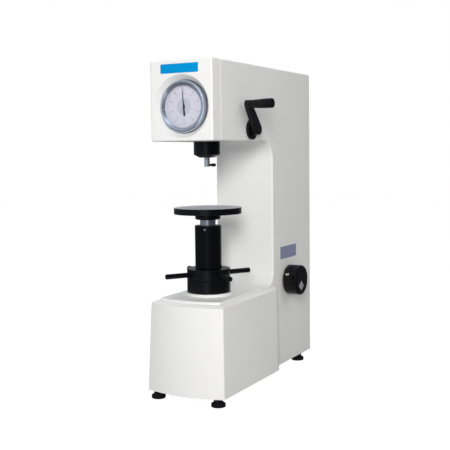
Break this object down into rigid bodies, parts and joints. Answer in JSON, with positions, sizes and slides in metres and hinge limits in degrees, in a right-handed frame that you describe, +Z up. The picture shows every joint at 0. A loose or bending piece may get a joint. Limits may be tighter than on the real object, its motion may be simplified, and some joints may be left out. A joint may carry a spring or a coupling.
{
  "type": "bench hardness tester",
  "caption": "White bench hardness tester: C-shaped cast body, dial in the head, round table on an elevating screw with a rod handwheel, load crank and force selector knob.",
  "frame": {"origin": "centre of the footprint box, on the floor that the feet stand on", "axes": "+Z up, front with the dial towards -Y, crank and selector knob on the +X side"},
  "size_m": [0.214, 0.457, 0.63],
  "materials": {
    "cast_enamel": "white enamel over cast iron",
    "cover_enamel": "white enamel",
    "black_oxide": "satin black",
    "ground_steel": "ground steel",
    "machine_steel": "machined steel",
    "bronze": "bearing bronze",
    "chrome": "bright chrome",
    "dial_metal": "satin aluminium",
    "dial_white": "matt white print",
    "dial_glass": "clear",
    "pointer_black": "black lacquer",
    "black_plastic": "glossy black",
    "foot_rubber": "black rubber"
  },
  "bodies": {
    "body": {"frame_casting": "cast_enamel", "front_cover": "cover_enamel", "top_cover": "cover_enamel", "rear_cover": "cover_enamel", "cover_screws": "ground_steel", "feet": "foot_rubber", "foot_studs": "machine_steel", "nose_housing": "black_oxide", "spindle_bush": "bronze", "dial_case": "dial_metal", "dial_movement": "bronze", "fulcrum_block": "machine_steel", "dashpot_cylinder": "machine_steel", "measuring_pivot": "machine_steel", "shaft_bearing": "machine_steel", "crank_bush": "bronze", "crank_flange": "black_oxide", "selector_bush": "bronze", "cradle_guide": "machine_steel", "screw_guide": "bronze", "bearing_housing": "black_oxide", "thrust_bearing": "machine_steel"},
    "handwheel": {"handwheel_hub": "black_oxide", "handwheel_rods": "black_oxide", "elevating_nut": "bronze", "upper_race": "machine_steel"},
    "lift": {"elevating_screw": "ground_steel", "screw_sleeve": "black_oxide", "sleeve_screw": "ground_steel"},
    "table": {"test_table": "ground_steel"},
    "crank": {"crank_shaft": "machine_steel", "crank_arm": "black_oxide", "grip_pin": "machine_steel"},
    "crank_grip": {"grip": "black_plastic"},
    "load_lever": {"main_lever": "machine_steel", "knife_edges": "machine_steel", "cam_follower": "machine_steel"},
    "weights": {"weight_hanger": "machine_steel", "weight_low": "machine_steel", "weight_middle": "machine_steel", "weight_top": "machine_steel"},
    "dashpot": {"dashpot_piston": "machine_steel"},
    "selector": {"selector_shaft": "machine_steel", "selector_cam": "machine_steel", "force_knob": "black_plastic", "knob_pointer": "dial_metal"},
    "cradle": {"weight_cradle": "machine_steel"},
    "dial_ring": {"bezel": "chrome", "glass_spacer": "dial_metal", "dial_face": "dial_white", "dial_glass": "dial_glass"},
    "long_pointer": {"long_pointer": "pointer_black"},
    "small_pointer": {"small_pointer": "pointer_black"},
    "spindle": {"spindle": "ground_steel"},
    "indenter_screw": {"indenter_screw": "ground_steel"},
    "measuring_lever": {"measuring_lever": "machine_steel"},
    "dial_plunger": {"dial_plunger": "machine_steel"}
  },
  "joints": [
    {"name": "handwheel_turn", "type": "hinge", "parent": "body", "child": "handwheel", "pos_m": [-0.025, -0.12, 0.23], "axis": [0, 0, -1], "range_deg": [0, 4460]},
    {"name": "screw_lift", "type": "slide", "parent": "body", "child": "lift", "axis": [0, 0, 1], "range_m": [0, 0.0744]},
    {"name": "table_turn", "type": "hinge", "parent": "lift", "child": "table", "pos_m": [-0.025, -0.12, 0.3348], "axis": [0, 0, 1], "continuous": true},
    {"name": "crank_turn", "type": "hinge", "parent": "body", "child": "crank", "pos_m": [-0.025, -0.0645, 0.5055], "axis": [-1, 0, 0], "range_deg": [0, 90]},
    {"name": "grip_spin", "type": "hinge", "parent": "crank", "child": "crank_grip", "pos_m": [0.085, -0.1019, 0.5516], "axis": [1, 0, 0], "continuous": true},
    {"name": "lever_drop", "type": "hinge", "parent": "body", "child": "load_lever", "pos_m": [-0.025, -0.136, 0.556], "axis": [-1, 0, 0], "range_deg": [0, 2.41]},
    {"name": "weights_drop", "type": "slide", "parent": "body", "child": "weights", "axis": [0, 0, -1], "range_m": [0, 0.01201]},
    {"name": "dashpot_stroke", "type": "slide", "parent": "body", "child": "dashpot", "axis": [0, 0, -1], "range_m": [0, 0.00921]},
    {"name": "selector_turn", "type": "hinge", "parent": "body", "child": "selector", "pos_m": [0.057, 0.105, 0.192], "axis": [1, 0, 0], "range_deg": [-120, 120]},
    {"name": "cradle_lift", "type": "slide", "parent": "body", "child": "cradle", "axis": [0, 0, 1], "range_m": [-0.00601, 0.00601]},
    {"name": "dial_ring_turn", "type": "hinge", "parent": "body", "child": "dial_ring", "pos_m": [-0.025, -0.205, 0.5458], "axis": [0, 1, 0], "continuous": true},
    {"name": "long_pointer_turn", "type": "hinge", "parent": "body", "child": "long_pointer", "pos_m": [-0.025, -0.203, 0.5458], "axis": [0, 1, 0], "range_deg": [0, 1081]},
    {"name": "small_pointer_turn", "type": "hinge", "parent": "body", "child": "small_pointer", "pos_m": [-0.025, -0.202, 0.5458], "axis": [0, 1, 0], "range_deg": [0, 108.1]},
    {"name": "spindle_rise", "type": "slide", "parent": "body", "child": "spindle", "axis": [0, 0, 1], "range_m": [0, 0.0006]},
    {"name": "indenter_screw_turn", "type": "hinge", "parent": "spindle", "child": "indenter_screw", "pos_m": [-0.013, -0.12, 0.4386], "axis": [1, 0, 0], "range_deg": [0, 360]},
    {"name": "measuring_lever_tilt", "type": "hinge", "parent": "body", "child": "measuring_lever", "pos_m": [-0.011, -0.1383, 0.5155], "axis": [1, 0, 0], "range_deg": [0, 3.36]},
    {"name": "plunger_drop", "type": "slide", "parent": "body", "child": "dial_plunger", "axis": [0, 0, -1], "range_m": [0, 0.00301]}
  ],
  "couplings": [
    {"joint": "screw_lift", "follows": "handwheel_turn", "m_per_rad": 0.00095493},
    {"joint": "lever_drop", "follows": "crank_turn", "ratio": 0.026738},
    {"joint": "weights_drop", "follows": "crank_turn", "m_per_rad": 0.0076394},
    {"joint": "dashpot_stroke", "follows": "crank_turn", "m_per_rad": 0.0058569},
    {"joint": "cradle_lift", "follows": "selector_turn", "m_per_rad": 0.0028648},
    {"joint": "long_pointer_turn", "follows": "spindle_rise", "rad_per_m": 31416},
    {"joint": "small_pointer_turn", "follows": "spindle_rise", "rad_per_m": 3141.6},
    {"joint": "measuring_lever_tilt", "follows": "spindle_rise", "rad_per_m": 97.087},
    {"joint": "plunger_drop", "follows": "spindle_rise", "ratio": 5}
  ]
}
